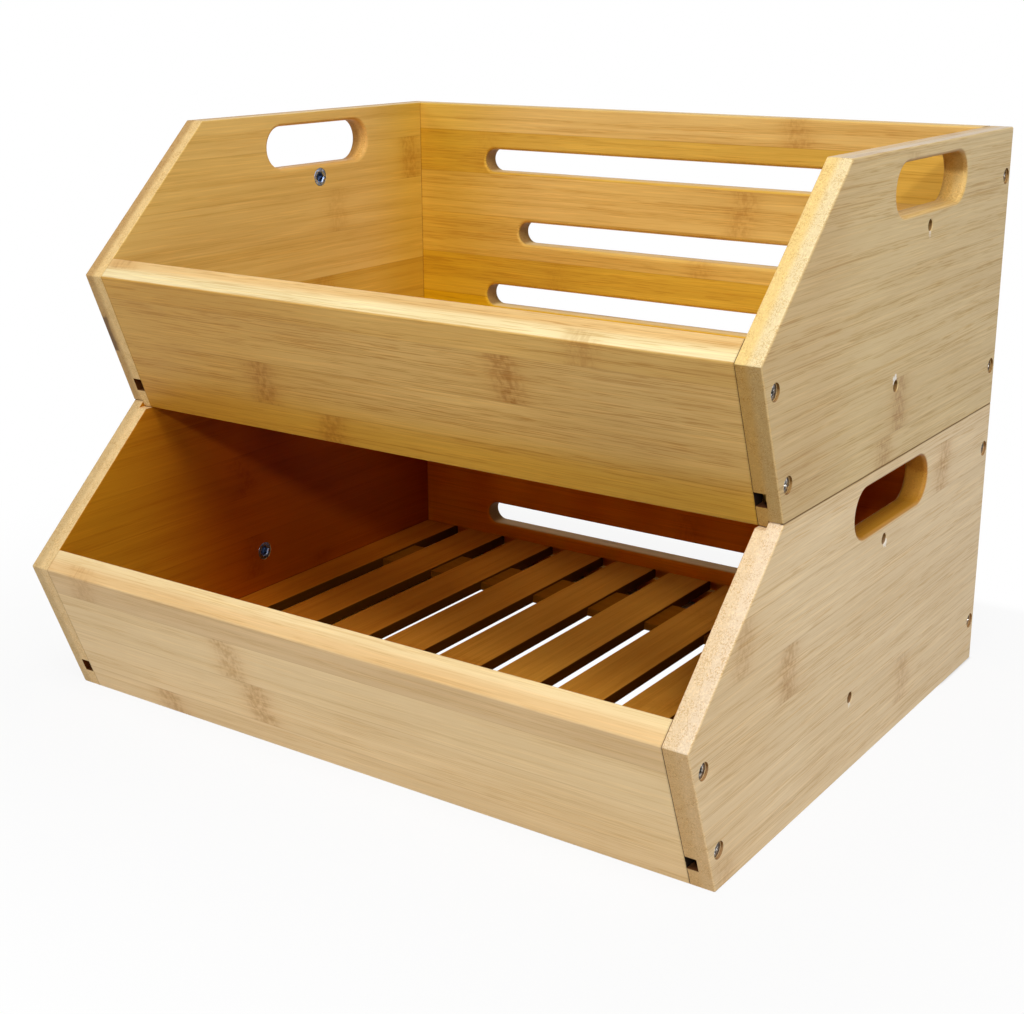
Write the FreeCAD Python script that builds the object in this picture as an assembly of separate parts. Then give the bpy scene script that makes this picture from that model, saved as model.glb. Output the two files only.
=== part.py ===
import FreeCAD, Part
import math
import os

# A stack of two open-fronted storage bins of boards and slats, in millimetres.
# X runs across the bins, -Y is the open front and Z is up.
# The origin is the middle of the footprint, on the floor.

# Boards and bins
width = 385.0  # over the outer faces of the side boards
board = 12.0  # thickness of the side, front and back boards
bin_height = 147.0  # height of a side board
lower_depth = 300.0  # lower bin, back to front along its bottom edge
front_lean = 27.5  # how far the front board leans out over its height
front_height = 74.0  # outer top edge of the front board above its bottom edge
mouth_setback = 77.5  # how far a side's sloping edge runs back from the front board to the top
edge_round = 1.0  # outer edges of the boards
inner_round = 0.5  # inner edges of the side boards

# Stacking joint between the bins
lip_width = 6.8  # outer part of a lower side's top edge, which carries the upper bin
lip_height = 3.5
stack_gap = 0.3  # play of the upper bin's tongues inside the lips and above the ledges

# Hand holes in the side boards
grip_length = 86.0
grip_height = 23.6
grip_margin = 6.7  # board left above a hand hole
grip_round = 2.0
lower_grip_from_back = 132.0
upper_grip_from_back = 107.5

# Slots through the back boards
slot_height = 13.4
slot_round = 2.0
long_slot = 260.0
short_slot = 211.0
low_slot_rise = 31.0  # middle of the low slot above the bottom edge
high_slot_drop = 32.8  # middle of the high slot below the top edge
middle_slot_share = 0.484  # place of the middle slot between the other two

# Slatted base
base_rise = 9.5  # underside of the base above the bottom edge
slat_count = 10
slat_width = 27.4
slat_thickness = 6.2
slat_round = 0.8
side_bury = 5.3  # how far the outer slats sit in the side boards
end_bury = 3.5  # how far the slat ends sit in the front and back boards
groove_gap = 0.3  # play of the base in its grooves
rail_width = 32.0
rail_height = 4.6
rail_inset = 43.0  # open base between a rail and the nearest board
lap_gap = 0.1  # play in the halved joints of slats and rails

# Wood screws through the sides into the ends of the front and back boards
screw_length = 32.0
screw_shank_radius = 1.75
screw_head_radius = 3.7
screw_head_height = 2.2
screw_point = 5.0  # length of the pointed end
screw_sink = 1.2  # depth of a head below the board's outer face
screw_sink_radius = 4.0
screw_gap = 0.1  # play round a screw
cross_length = 4.2  # cross slot in a head
cross_width = 1.1
cross_depth = 1.3
front_screw_inset = 8.0  # from the front board's outer face
low_front_screw_rise = 19.2  # above the bottom edge
high_front_screw_drop = 12.7  # below the front board's outer top edge
back_screw_margin = 24.2  # from the bottom and top edges

# Threaded inserts in the sides, for bolting posts to the outside
insert_length = 8.6
insert_radius = 4.2
insert_flange = 1.0
insert_flange_radius = 5.2
insert_bore_radius = 2.1
insert_mouth = 0.5  # bevel round the bore, on the inside of the bin
insert_gap = 0.1  # play round an insert
bolt_hole_radius = 2.75
bolt_hole_bevel = 0.4
high_post_drop = 7.4  # upper bolt below the hand hole's edge
low_post_rise = 39.0  # lower bolt above the bottom edge
post_step = 30.0  # lower bolt in front of the upper one
lower_post_from_back = 139.5
upper_post_from_back = 107.5

overrun = 5.0  # how far cutters run past what they cut
near = 0.01  # edges closer than this to a face lie on it

# Derived sizes and places
half_width = width / 2
half_inside = half_width - board
back_y = (lower_depth + front_lean) / 2
upper_depth = lower_depth + front_lean - mouth_setback
upper_lift = bin_height - lip_height + stack_gap
lean_angle = math.atan2(front_lean, front_height)
lean_run = front_lean / front_height
front_run = board / math.cos(lean_angle)
grip_rise = bin_height - grip_margin - grip_height / 2
high_slot_rise = bin_height - high_slot_drop
middle_slot_rise = low_slot_rise + middle_slot_share * (high_slot_rise - low_slot_rise)
base_top = base_rise + slat_thickness
groove_top = base_top + groove_gap
lap_rise = base_rise + slat_thickness / 2
base_half = half_inside + side_bury
slat_pitch = (2 * base_half - slat_width) / (slat_count - 1)

across = FreeCAD.Vector(1, 0, 0)
backward = FreeCAD.Vector(0, 1, 0)
up = FreeCAD.Vector(0, 0, 1)

os.makedirs("parts", exist_ok=True)


def point(x, from_back, z):
    return FreeCAD.Vector(x, back_y - from_back, z)


def block(x_range, from_back_range, z_range):
    x_low, x_high = sorted(x_range)
    near_back, near_front = sorted(from_back_range)
    z_low, z_high = sorted(z_range)
    corner = point(x_low, near_front, z_low)
    return Part.makeBox(x_high - x_low, near_front - near_back, z_high - z_low, corner)


def prism(outline, x_low, x_high):
    # Carries an outline of (distance from the back, height) points across the bin
    corners = [point(x_low, from_back, z) for from_back, z in outline]
    face = Part.Face(Part.makePolygon(corners + corners[:1]))
    return face.extrude(across * (x_high - x_low))


def long_hole(centre, along, length, height, through):
    # Cutter for a hole with round ends
    radius = height / 2
    half = length / 2 - radius
    start, end = centre - along * half, centre + along * half
    rise = up * radius
    sides = [
        Part.LineSegment(start + rise, end + rise),
        Part.Arc(end + rise, end + along * radius, end - rise),
        Part.LineSegment(end - rise, start - rise),
        Part.Arc(start - rise, start - along * radius, start + rise),
    ]
    return Part.Face(Part.Wire([side.toShape() for side in sides])).extrude(through)


def edges_along(shape, direction):
    # Straight edges that run along a direction
    found = []
    for edge in shape.Edges:
        span = edge.Vertexes[-1].Point - edge.Vertexes[0].Point
        if span.Length > near and span.cross(direction).Length < near:
            found.append(edge)
    return found


def edges_at_x(shape, x):
    return [e for e in shape.Edges if abs(e.BoundBox.XMin - x) < near and abs(e.BoundBox.XMax - x) < near]


def edges_at_y(shape, y):
    return [e for e in shape.Edges if abs(e.BoundBox.YMin - y) < near and abs(e.BoundBox.YMax - y) < near]


def inside(edges, cutter):
    # Those edges that lie in a cutter's reach
    reach = cutter.BoundBox
    reach.enlarge(near)
    return [edge for edge in edges if reach.isInside(edge.BoundBox)]


def front_outside(depth, rise):
    # Distance from the back to the front board's outer face, at a height above the bin's bottom edge
    return depth + lean_run * rise


def front_inside(depth, rise):
    return front_outside(depth, rise) - front_run


def front_screw_places(depth):
    inset = front_screw_inset / math.cos(lean_angle)
    rises = (low_front_screw_rise, front_height - high_front_screw_drop)
    return [(front_outside(depth, rise) - inset, rise) for rise in rises]


def back_screw_places():
    return [(board / 2, rise) for rise in (back_screw_margin, bin_height - back_screw_margin)]


def insert_places(post_from_back):
    high_rise = grip_rise - grip_height / 2 - high_post_drop
    return [(post_from_back, high_rise), (post_from_back + post_step, low_post_rise)]


def rail_places(depth):
    # Each rail's back and front edge, as distances from the back
    front = front_inside(depth, base_top) - rail_inset
    back = board + rail_inset
    return {"back_rail": (back, back + rail_width), "front_rail": (front - rail_width, front)}


def slat_edges(index):
    left = slat_pitch * index - base_half
    return left, left + slat_width


def wood_screw(place, side, lift):
    # Countersunk cross-head screw, driven inwards through a side
    from_back, rise = place
    inwards = across * -side
    z = lift + rise
    head = point(side * (half_width - screw_sink), from_back, z)
    neck = head + inwards * screw_head_height
    shank = screw_length - screw_head_height - screw_point
    screw = Part.makeCone(screw_head_radius, screw_shank_radius, screw_head_height, head, inwards)
    screw = screw.fuse(Part.makeCylinder(screw_shank_radius, shank, neck, inwards))
    screw = screw.fuse(Part.makeCone(screw_shank_radius, 0, screw_point, neck + inwards * shank, inwards))
    slot = (side * (half_width - screw_sink - cross_depth), side * half_width)
    for half_y, half_z in ((cross_length / 2, cross_width / 2), (cross_width / 2, cross_length / 2)):
        bar = block(slot, (from_back - half_y, from_back + half_y), (z - half_z, z + half_z))
        screw = screw.cut(bar)
    return screw.removeSplitter()


def screw_cutter(place, side, lift):
    # Sunk hole, head seat and pilot hole for one screw
    from_back, rise = place
    inwards = across * -side
    rim = point(side * (half_width + overrun), from_back, lift + rise)
    head = point(side * (half_width - screw_sink), from_back, lift + rise)
    pilot_radius = screw_shank_radius + screw_gap
    seat_radius = screw_head_radius + screw_gap
    cutter = Part.makeCylinder(screw_sink_radius, overrun + screw_sink, rim, inwards)
    cutter = cutter.fuse(Part.makeCone(seat_radius, pilot_radius, screw_head_height, head, inwards))
    return cutter.fuse(Part.makeCylinder(pilot_radius, screw_length + screw_gap, head, inwards))


def insert(place, side, lift):
    # Threaded insert, flush with the inside of a side board
    from_back, rise = place
    outwards = across * side
    mouth = point(side * half_inside, from_back, lift + rise)
    body = Part.makeCylinder(insert_flange_radius, insert_flange, mouth, outwards)
    body = body.fuse(Part.makeCylinder(insert_radius, insert_length, mouth, outwards))
    body = body.cut(Part.makeCylinder(insert_bore_radius, insert_length, mouth, outwards))
    bevel = Part.makeCone(insert_bore_radius + insert_mouth, insert_bore_radius, insert_mouth, mouth, outwards)
    return body.cut(bevel).removeSplitter()


def insert_cutter(place, side, lift):
    # Pocket for an insert and the bolt's hole to the outside
    from_back, rise = place
    outwards = across * side
    start = point(side * (half_inside - overrun), from_back, lift + rise)
    face = point(side * half_width, from_back, lift + rise)
    cutter = Part.makeCylinder(insert_flange_radius + insert_gap, overrun + insert_flange, start, outwards)
    cutter = cutter.fuse(Part.makeCylinder(insert_radius + insert_gap, overrun + insert_length, start, outwards))
    cutter = cutter.fuse(Part.makeCylinder(bolt_hole_radius, 2 * overrun + board, start, outwards))
    rim_radius = bolt_hole_radius + bolt_hole_bevel
    return cutter.fuse(Part.makeCone(rim_radius, bolt_hole_radius, bolt_hole_bevel, face, -outwards))


def stacking_cutter(side, depth, carries):
    # The rebate in a side: inside the lip of a side that carries, or under the outer part of one that is carried
    reach = (-overrun, depth + front_lean + overrun)
    lip_edge = half_width - lip_width
    if carries:
        x_range = (side * (half_inside - overrun), side * lip_edge)
        return block(x_range, reach, (bin_height - lip_height, bin_height + overrun))
    x_range = (side * (lip_edge - stack_gap), side * (half_width + overrun))
    return block(x_range, reach, (upper_lift - overrun, bin_height))


def side_board(side, depth, lift, grip_from_back, post_from_back, carries):
    kink = depth + front_lean
    outline = [
        (0, lift),
        (depth, lift),
        (kink, lift + front_height),
        (kink - mouth_setback, lift + bin_height),
        (0, lift + bin_height),
    ]
    inner, outer = side * half_inside, side * half_width
    shape = prism(outline, min(inner, outer), max(inner, outer))
    shape = shape.makeFillet(edge_round, edges_along(shape, across))
    shape = shape.makeFillet(edge_round, edges_at_x(shape, outer))
    shape = shape.makeFillet(inner_round, edges_at_x(shape, inner))

    start = point(side * (half_inside - overrun), grip_from_back, lift + grip_rise)
    grip = long_hole(start, backward, grip_length, grip_height, across * (side * (board + 2 * overrun)))
    shape = shape.cut(grip)
    rims = inside(edges_at_x(shape, inner) + edges_at_x(shape, outer), grip)
    shape = shape.makeFillet(grip_round, rims)

    shape = shape.cut(stacking_cutter(side, depth, carries))
    groove_x = (side * (half_inside - overrun), side * (base_half + groove_gap))
    groove_z = (lift + base_rise, lift + groove_top)
    shape = shape.cut(block(groove_x, (-overrun, kink + overrun), groove_z))
    for place in front_screw_places(depth) + back_screw_places():
        shape = shape.cut(screw_cutter(place, side, lift))
    for place in insert_places(post_from_back):
        shape = shape.cut(insert_cutter(place, side, lift))
    return shape


def front_board(depth, lift):
    # Leans outwards, with its top edge in line with the sloping edges of the sides
    slope_run = mouth_setback / (bin_height - front_height)
    top_rise = front_height + front_run / (slope_run + lean_run)
    outline = [
        (depth, lift),
        (depth + front_lean, lift + front_height),
        (front_inside(depth, top_rise), lift + top_rise),
        (depth - front_run, lift),
    ]
    shape = prism(outline, -half_inside, half_inside)
    shape = shape.makeFillet(edge_round, edges_along(shape, across))
    groove_end = front_inside(depth, base_top) + end_bury + groove_gap
    groove_y = (front_inside(depth, base_rise) - overrun, groove_end)
    groove_x = (-half_inside - overrun, half_inside + overrun)
    shape = shape.cut(block(groove_x, groove_y, (lift + base_rise, lift + groove_top)))
    for side in (-1, 1):
        for place in front_screw_places(depth):
            shape = shape.cut(screw_cutter(place, side, lift))
    return shape


def back_board(lift, height):
    shape = block((-half_inside, half_inside), (0, board), (lift, lift + height))
    shape = shape.makeFillet(edge_round, edges_along(shape, across))
    slots = ((low_slot_rise, long_slot), (middle_slot_rise, short_slot), (high_slot_rise, long_slot))
    for rise, length in slots:
        start = point(0, board + overrun, lift + rise)
        slot = long_hole(start, across, length, slot_height, backward * (board + 2 * overrun))
        shape = shape.cut(slot)
        faces = edges_at_y(shape, back_y) + edges_at_y(shape, back_y - board)
        shape = shape.makeFillet(slot_round, inside(faces, slot))
    groove_y = (board - end_bury - groove_gap, board + overrun)
    groove_x = (-half_inside - overrun, half_inside + overrun)
    shape = shape.cut(block(groove_x, groove_y, (lift + base_rise, lift + groove_top)))
    for side in (-1, 1):
        for place in back_screw_places():
            shape = shape.cut(screw_cutter(place, side, lift))
    return shape


def slat(index, depth, lift):
    ends = (board - end_bury, front_inside(depth, base_top) + end_bury)
    shape = block(slat_edges(index), ends, (lift + base_rise, lift + base_top))
    top_edges = [e for e in edges_along(shape, backward) if e.BoundBox.ZMin > lift + lap_rise]
    shape = shape.makeFillet(slat_round, top_edges)
    for back, front in rail_places(depth).values():
        x_range = (-half_width, half_width)
        shape = shape.cut(block(x_range, (back - lap_gap, front + lap_gap), (lift, lift + lap_rise)))
    return shape


def rail(ends, lift):
    shape = block((-base_half, base_half), ends, (lift + base_rise, lift + base_rise + rail_height))
    reach = (ends[0] - overrun, ends[1] + overrun)
    for index in range(slat_count):
        left, right = slat_edges(index)
        shape = shape.cut(block((left - lap_gap, right + lap_gap), reach, (lift + lap_rise, lift + bin_height)))
    return shape


def storage_bin(name, depth, lift, back_height, grip_from_back, post_from_back, carries):
    pieces = {}
    for side, word in ((-1, "left"), (1, "right")):
        pieces[word + "_side"] = side_board(side, depth, lift, grip_from_back, post_from_back, carries)
    pieces["front_board"] = front_board(depth, lift)
    pieces["back_board"] = back_board(lift, back_height)
    for index in range(slat_count):
        pieces["slat_" + str(index + 1)] = slat(index, depth, lift)
    for word, ends in rail_places(depth).items():
        pieces[word] = rail(ends, lift)

    def both_sides(maker, places):
        return Part.Compound([maker(place, side, lift) for side in (-1, 1) for place in places])

    pieces["front_screws"] = both_sides(wood_screw, front_screw_places(depth))
    pieces["back_screws"] = both_sides(wood_screw, back_screw_places())
    pieces["post_inserts"] = both_sides(insert, insert_places(post_from_back))
    for word, shape in pieces.items():
        shape.exportStep("parts/" + name + "_" + word + ".step")


lower_back = bin_height - lip_height
storage_bin("lower", lower_depth, 0, lower_back, lower_grip_from_back, lower_post_from_back, True)
storage_bin("upper", upper_depth, upper_lift, bin_height, upper_grip_from_back, upper_post_from_back, False)
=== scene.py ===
import math

import bmesh
import bpy
from mathutils import Matrix, Vector


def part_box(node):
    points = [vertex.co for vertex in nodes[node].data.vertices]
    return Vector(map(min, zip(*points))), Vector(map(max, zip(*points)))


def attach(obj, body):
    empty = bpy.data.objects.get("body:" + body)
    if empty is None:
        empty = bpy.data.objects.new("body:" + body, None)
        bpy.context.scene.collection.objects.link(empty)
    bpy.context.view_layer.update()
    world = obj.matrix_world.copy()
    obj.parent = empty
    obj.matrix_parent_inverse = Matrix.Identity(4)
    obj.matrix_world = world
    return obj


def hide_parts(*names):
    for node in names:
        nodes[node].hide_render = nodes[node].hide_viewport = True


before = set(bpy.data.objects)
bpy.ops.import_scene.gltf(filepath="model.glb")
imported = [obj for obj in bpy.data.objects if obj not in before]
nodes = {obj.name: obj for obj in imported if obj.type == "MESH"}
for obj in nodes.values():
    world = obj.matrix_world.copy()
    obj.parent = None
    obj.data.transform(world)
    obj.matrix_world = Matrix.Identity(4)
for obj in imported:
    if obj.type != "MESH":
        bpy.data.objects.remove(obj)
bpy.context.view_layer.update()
scene = bpy.context.scene
print("frame loaded:", len(nodes), "nodes")


# Small helpers for wiring shader nodes; a value may be a socket or a plain number.
def feed(tree, socket, value):
    if isinstance(value, bpy.types.NodeSocket):
        tree.links.new(value, socket)
    else:
        socket.default_value = value


def calc(tree, operation, first, second=0.0):
    node = tree.nodes.new("ShaderNodeMath")
    node.operation = operation
    feed(tree, node.inputs[0], first)
    feed(tree, node.inputs[1], second)
    return node.outputs[0]


def times(tree, first, second):
    return calc(tree, "MULTIPLY", first, second)


def plus(tree, first, second):
    return calc(tree, "ADD", first, second)


def minus(tree, first, second):
    return calc(tree, "SUBTRACT", first, second)


def larger(tree, first, second):
    return calc(tree, "MAXIMUM", first, second)


def sizeOf(tree, value):
    return calc(tree, "ABSOLUTE", value)


def gapTo(tree, value, place):
    return sizeOf(tree, minus(tree, value, place))


def rangeOf(tree, value, low, high, outLow=0.0, outHigh=1.0):
    node = tree.nodes.new("ShaderNodeMapRange")
    node.interpolation_type = "SMOOTHSTEP"
    for place, entry in enumerate((value, low, high, outLow, outHigh)):
        feed(tree, node.inputs[place], entry)
    return node.outputs[0]


def fallOf(tree, value, low, high):
    return rangeOf(tree, value, low, high, 1.0, 0.0)


def mixColour(tree, amount, first, second, blend="MIX"):
    node = tree.nodes.new("ShaderNodeMix")
    node.data_type = "RGBA"
    node.blend_type = blend
    feed(tree, node.inputs[0], amount)
    feed(tree, node.inputs[6], first)
    feed(tree, node.inputs[7], second)
    return node.outputs[2]


def tintBy(tree, amount, colour, tint):
    return mixColour(tree, amount, colour, tint, "MULTIPLY")


def mixValue(tree, amount, first, second):
    node = tree.nodes.new("ShaderNodeMix")
    feed(tree, node.inputs[0], amount)
    feed(tree, node.inputs[2], first)
    feed(tree, node.inputs[3], second)
    return node.outputs[0]


def split(tree, vector):
    node = tree.nodes.new("ShaderNodeSeparateXYZ")
    feed(tree, node.inputs[0], vector)
    return node.outputs


def joined(tree, x, y, z):
    node = tree.nodes.new("ShaderNodeCombineXYZ")
    for place, entry in enumerate((x, y, z)):
        feed(tree, node.inputs[place], entry)
    return node.outputs[0]


def vectorCalc(tree, operation, first, second=None):
    node = tree.nodes.new("ShaderNodeVectorMath")
    node.operation = operation
    feed(tree, node.inputs[0], first)
    if second is not None:
        feed(tree, node.inputs[1], second)
    return node.outputs["Value" if operation in ("DOT_PRODUCT", "LENGTH") else "Vector"]


def noise(tree, vector, scale=1.0, detail=2.0, roughness=0.5):
    node = tree.nodes.new("ShaderNodeTexNoise")
    feed(tree, node.inputs["Vector"], vector)
    node.inputs["Scale"].default_value = scale
    node.inputs["Detail"].default_value = detail
    node.inputs["Roughness"].default_value = roughness
    return node.outputs[0]


def sway(tree, value):
    return minus(tree, value, 0.5)  # noise to either side of zero


def chance(tree, number):
    node = tree.nodes.new("ShaderNodeTexWhiteNoise")
    node.noise_dimensions = "1D"
    feed(tree, node.inputs["W"], number)
    return node.outputs["Color"]


def startGroup(name, inputs, outputs):
    tree = bpy.data.node_groups.new(name, "ShaderNodeTree")
    for direction, sockets in (("INPUT", inputs), ("OUTPUT", outputs)):
        for label, kind in sockets.items():
            tree.interface.new_socket(label, in_out=direction, socket_type="NodeSocket" + kind)
    return tree, tree.nodes.new("NodeGroupInput").outputs, tree.nodes.new("NodeGroupOutput").inputs


def useGroup(tree, group, **values):
    node = tree.nodes.new("ShaderNodeGroup")
    node.node_tree = group
    for label, value in values.items():
        feed(tree, node.inputs[label], value)
    return node.outputs


def newMaterial(name):
    material = bpy.data.materials.new(name)
    material.use_nodes = True
    return material, material.node_tree, material.node_tree.nodes["Principled BSDF"]


# Boards are pressed from strips in two plies. Vectors are (along the grain, across, through) in metres.
stripShape = {"plyJump": 31.7, "seamWidth": 0.0005, "plyBlend": 0.002}


def stripLayoutGroup():
    tree, given, out = startGroup(
        "stripLayout",
        {"Vector": "Vector", "Width": "Float", "Shift": "Float", "Seed": "Float"},
        {"Index": "Float", "Ply": "Float", "Random": "Color", "Seam": "Float", "Blend": "Float"},
    )
    across, through = split(tree, given["Vector"])[1:]
    ply = calc(tree, "GREATER_THAN", through, 0.0)
    strip = calc(tree, "DIVIDE", plus(tree, across, given["Shift"]), given["Width"])
    index = calc(tree, "FLOOR", strip)
    number = plus(tree, times(tree, ply, stripShape["plyJump"]), plus(tree, index, given["Seed"]))
    toSeam = times(tree, calc(tree, "PINGPONG", strip, 0.5), given["Width"])
    feed(tree, out["Index"], index)
    feed(tree, out["Ply"], ply)
    feed(tree, out["Random"], chance(tree, number))
    feed(tree, out["Seam"], fallOf(tree, toSeam, 0.0, stripShape["seamWidth"]))
    feed(tree, out["Blend"], rangeOf(tree, through, -stripShape["plyBlend"], stripShape["plyBlend"]))
    return tree


# Streaks along the grain; "fade" is where the noise behind them begins and ends to show
fibreStreaks = {
    "band": {"length": 0.28, "thickness": 0.0046, "start": 29.0, "fade": (0.40, 0.64)},
    "dashes": {"length": 0.020, "thickness": 0.00048, "start": 0.0, "fade": (0.51, 0.67), "weight": 0.8},
    "threads": {"length": 0.09, "thickness": 0.0006, "start": 71.0, "fade": (0.53, 0.70), "weight": 0.75},
    "pale": {"length": 0.04, "thickness": 0.0009, "start": 13.0, "fade": (0.52, 0.68)},
    "cloud": {"length": 0.09, "thickness": 0.02, "start": 47.0, "fade": (0.3, 0.7)},
}
fibreCourse = {
    "swayAlong": 7.0, "swayAcross": 25.0, "swayBy": 0.0022, "jump": 40.0, "roughness": 0.6,
    "crowded": (0.36, 0.62, 0.35, 1.0),
}


def bambooFibresGroup():
    tree, given, out = startGroup(
        "bambooFibres",
        {"Vector": "Vector", "Random": "Color"},
        {"Lines": "Float", "Pale": "Float", "Band": "Float", "Cloud": "Float"},
    )
    look = fibreCourse
    along, across, through = split(tree, given["Vector"])
    slow = joined(tree, times(tree, along, look["swayAlong"]), times(tree, across, look["swayAcross"]), 0.0)
    bent = plus(tree, across, times(tree, sway(tree, noise(tree, slow, detail=1.0)), look["swayBy"]))
    jump = times(tree, split(tree, given["Random"])[0], look["jump"])
    grain = {}
    shown = {}
    for kind, streak in fibreStreaks.items():
        place = joined(
            tree,
            plus(tree, times(tree, along, 1.0 / streak["length"]), plus(tree, jump, streak["start"])),
            times(tree, bent, 1.0 / streak["thickness"]),
            times(tree, through, 1.0 / streak["thickness"]),
        )
        grain[kind] = noise(tree, place, detail=1.0, roughness=look["roughness"])
        shown[kind] = rangeOf(tree, grain[kind], *streak["fade"])
    crowded = rangeOf(tree, grain["band"], *look["crowded"])  # fibres stand closer in some bands
    dashes = times(tree, shown["dashes"], fibreStreaks["dashes"]["weight"])
    threads = times(tree, shown["threads"], fibreStreaks["threads"]["weight"])
    feed(tree, out["Lines"], times(tree, larger(tree, dashes, threads), crowded))
    feed(tree, out["Pale"], shown["pale"])
    feed(tree, out["Band"], shown["band"])
    feed(tree, out["Cloud"], shown["cloud"])
    return tree


knuckleShape = {
    "jump": 60.0, "wander": 70.0, "wanderBy": 0.020, "comb": (55.0, 620.0), "combBy": 0.014,
    "band": (0.0012, 0.0120), "swirl": (420.0, 260.0), "swirlRoughness": 0.6,
    "mottle": (0.36, 0.64, 0.25, 1.0), "halo": (0.004, 0.020), "ridgeAt": 0.0035,
    "ridge": (0.0002, 0.0018), "ridgeBreaks": (0.44, 0.58), "ridgeWeight": 0.9,
}


def bambooKnuckleGroup():
    tree, given, out = startGroup(
        "bambooKnuckle",
        {"Vector": "Vector", "Place": "Float", "Random": "Color"},
        {"Marks": "Float", "Halo": "Float", "Relief": "Float"},
    )
    look = knuckleShape
    along, across = split(tree, given["Vector"])[:2]
    jump = times(tree, split(tree, given["Random"])[1], look["jump"])
    wander = noise(tree, joined(tree, times(tree, across, look["wander"]), jump, 0.0))
    away = plus(tree, minus(tree, along, given["Place"]), times(tree, sway(tree, wander), look["wanderBy"]))
    distance = sizeOf(tree, away)
    teeth = joined(tree, times(tree, along, look["comb"][0]), times(tree, across, look["comb"][1]), jump)
    comb = times(tree, sway(tree, noise(tree, teeth)), look["combBy"])
    ragged = plus(tree, distance, comb)  # fibres end at different places
    band = fallOf(tree, ragged, *look["band"])
    curl = joined(tree, times(tree, along, look["swirl"][0]), times(tree, across, look["swirl"][1]), jump)
    swirl = noise(tree, curl, roughness=look["swirlRoughness"])
    mottle = rangeOf(tree, swirl, *look["mottle"])
    ridge = fallOf(tree, sizeOf(tree, plus(tree, away, look["ridgeAt"])), *look["ridge"])
    ridge = times(tree, ridge, rangeOf(tree, swirl, *look["ridgeBreaks"]))  # a broken line along one side
    ridge = times(tree, ridge, look["ridgeWeight"])
    feed(tree, out["Marks"], larger(tree, times(tree, band, mottle), ridge))
    feed(tree, out["Halo"], fallOf(tree, distance, *look["halo"]))
    feed(tree, out["Relief"], times(tree, band, sway(tree, swirl)))
    return tree


# How much of a normal lies along the grain, through the board and upwards on each kind of face
faceLimits = {"cut": (0.12, 0.6), "edge": (0.3, 0.8), "below": (-0.25, 0.05), "above": (0.85, 0.97)}


def boardFacesGroup():
    tree, given, out = startGroup(
        "boardFaces",
        {"Normal": "Vector", "Grain": "Vector", "Through": "Vector"},
        {"Cut": "Float", "Edge": "Float", "Below": "Float", "Above": "Float"},
    )
    ending = sizeOf(tree, vectorCalc(tree, "DOT_PRODUCT", given["Normal"], given["Grain"]))
    facing = sizeOf(tree, vectorCalc(tree, "DOT_PRODUCT", given["Normal"], given["Through"]))
    upright = split(tree, given["Normal"])[2]
    feed(tree, out["Cut"], rangeOf(tree, ending, *faceLimits["cut"]))  # cut across the grain
    feed(tree, out["Edge"], fallOf(tree, facing, *faceLimits["edge"]))
    feed(tree, out["Below"], fallOf(tree, upright, *faceLimits["below"]))
    feed(tree, out["Above"], rangeOf(tree, upright, *faceLimits["above"]))
    return tree


grainTints = {
    "Cloud": (0.88, 0.84, 0.76, 1), "Band": (0.84, 0.76, 0.60, 1), "Pale": (1.15, 1.15, 1.13, 1),
    "Lines": (0.74, 0.59, 0.38, 1), "Seam": (0.62, 0.50, 0.36, 1), "Halo": (0.88, 0.80, 0.68, 1),
    "Marks": (0.70, 0.55, 0.38, 1),
}


def bambooTintGroup():
    inputs = {"Base": "Color", **{mask: "Float" for mask in grainTints}}
    tree, given, out = startGroup("bambooTint", inputs, {"Color": "Color"})
    colour = given["Base"]
    for mask, tint in grainTints.items():
        colour = tintBy(tree, given[mask], colour, tint)
    feed(tree, out["Color"], colour)
    return tree


chipEdge = {"scale": 650.0, "frayBy": 0.005, "soft": 0.0006}


def raggedSpotGroup():
    tree, given, out = startGroup(
        "raggedSpot", {"Vector": "Vector", "Place": "Vector", "Radius": "Float"}, {"Mask": "Float"}
    )
    away = vectorCalc(tree, "LENGTH", vectorCalc(tree, "SUBTRACT", given["Vector"], given["Place"]))
    fray = times(tree, sway(tree, noise(tree, given["Vector"], chipEdge["scale"])), chipEdge["frayBy"])
    past = minus(tree, plus(tree, away, fray), given["Radius"])
    feed(tree, out["Mask"], fallOf(tree, past, -chipEdge["soft"], chipEdge["soft"]))
    return tree


stripLayout = stripLayoutGroup()
bambooFibres = bambooFibresGroup()
bambooKnuckle = bambooKnuckleGroup()
boardFaces = boardFacesGroup()
bambooTint = bambooTintGroup()
raggedSpot = raggedSpotGroup()

lean = math.atan2(0.0275, 0.074)  # of the front boards
binBack = 0.16375
lowerDepth = 0.3
upperDepth = 0.25
upperLift = 0.1438
boardThick = 0.012
sideMiddle = 0.1865

# Rows of each turn: along the grain, across it, and through the board
turnSide = Matrix(((0, 1, 0), (0, 0, 1), (1, 0, 0)))
turnBack = Matrix(((1, 0, 0), (0, 0, 1), (0, -1, 0)))
turnFront = Matrix(((1, 0, 0), (0, -math.sin(lean), math.cos(lean)), (0, -math.cos(lean), -math.sin(lean))))
turnSlat = Matrix(((0, 1, 0), (1, 0, 0), (0, 0, -1)))
turnRail = Matrix(((1, 0, 0), (0, 1, 0), (0, 0, 1)))

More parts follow.
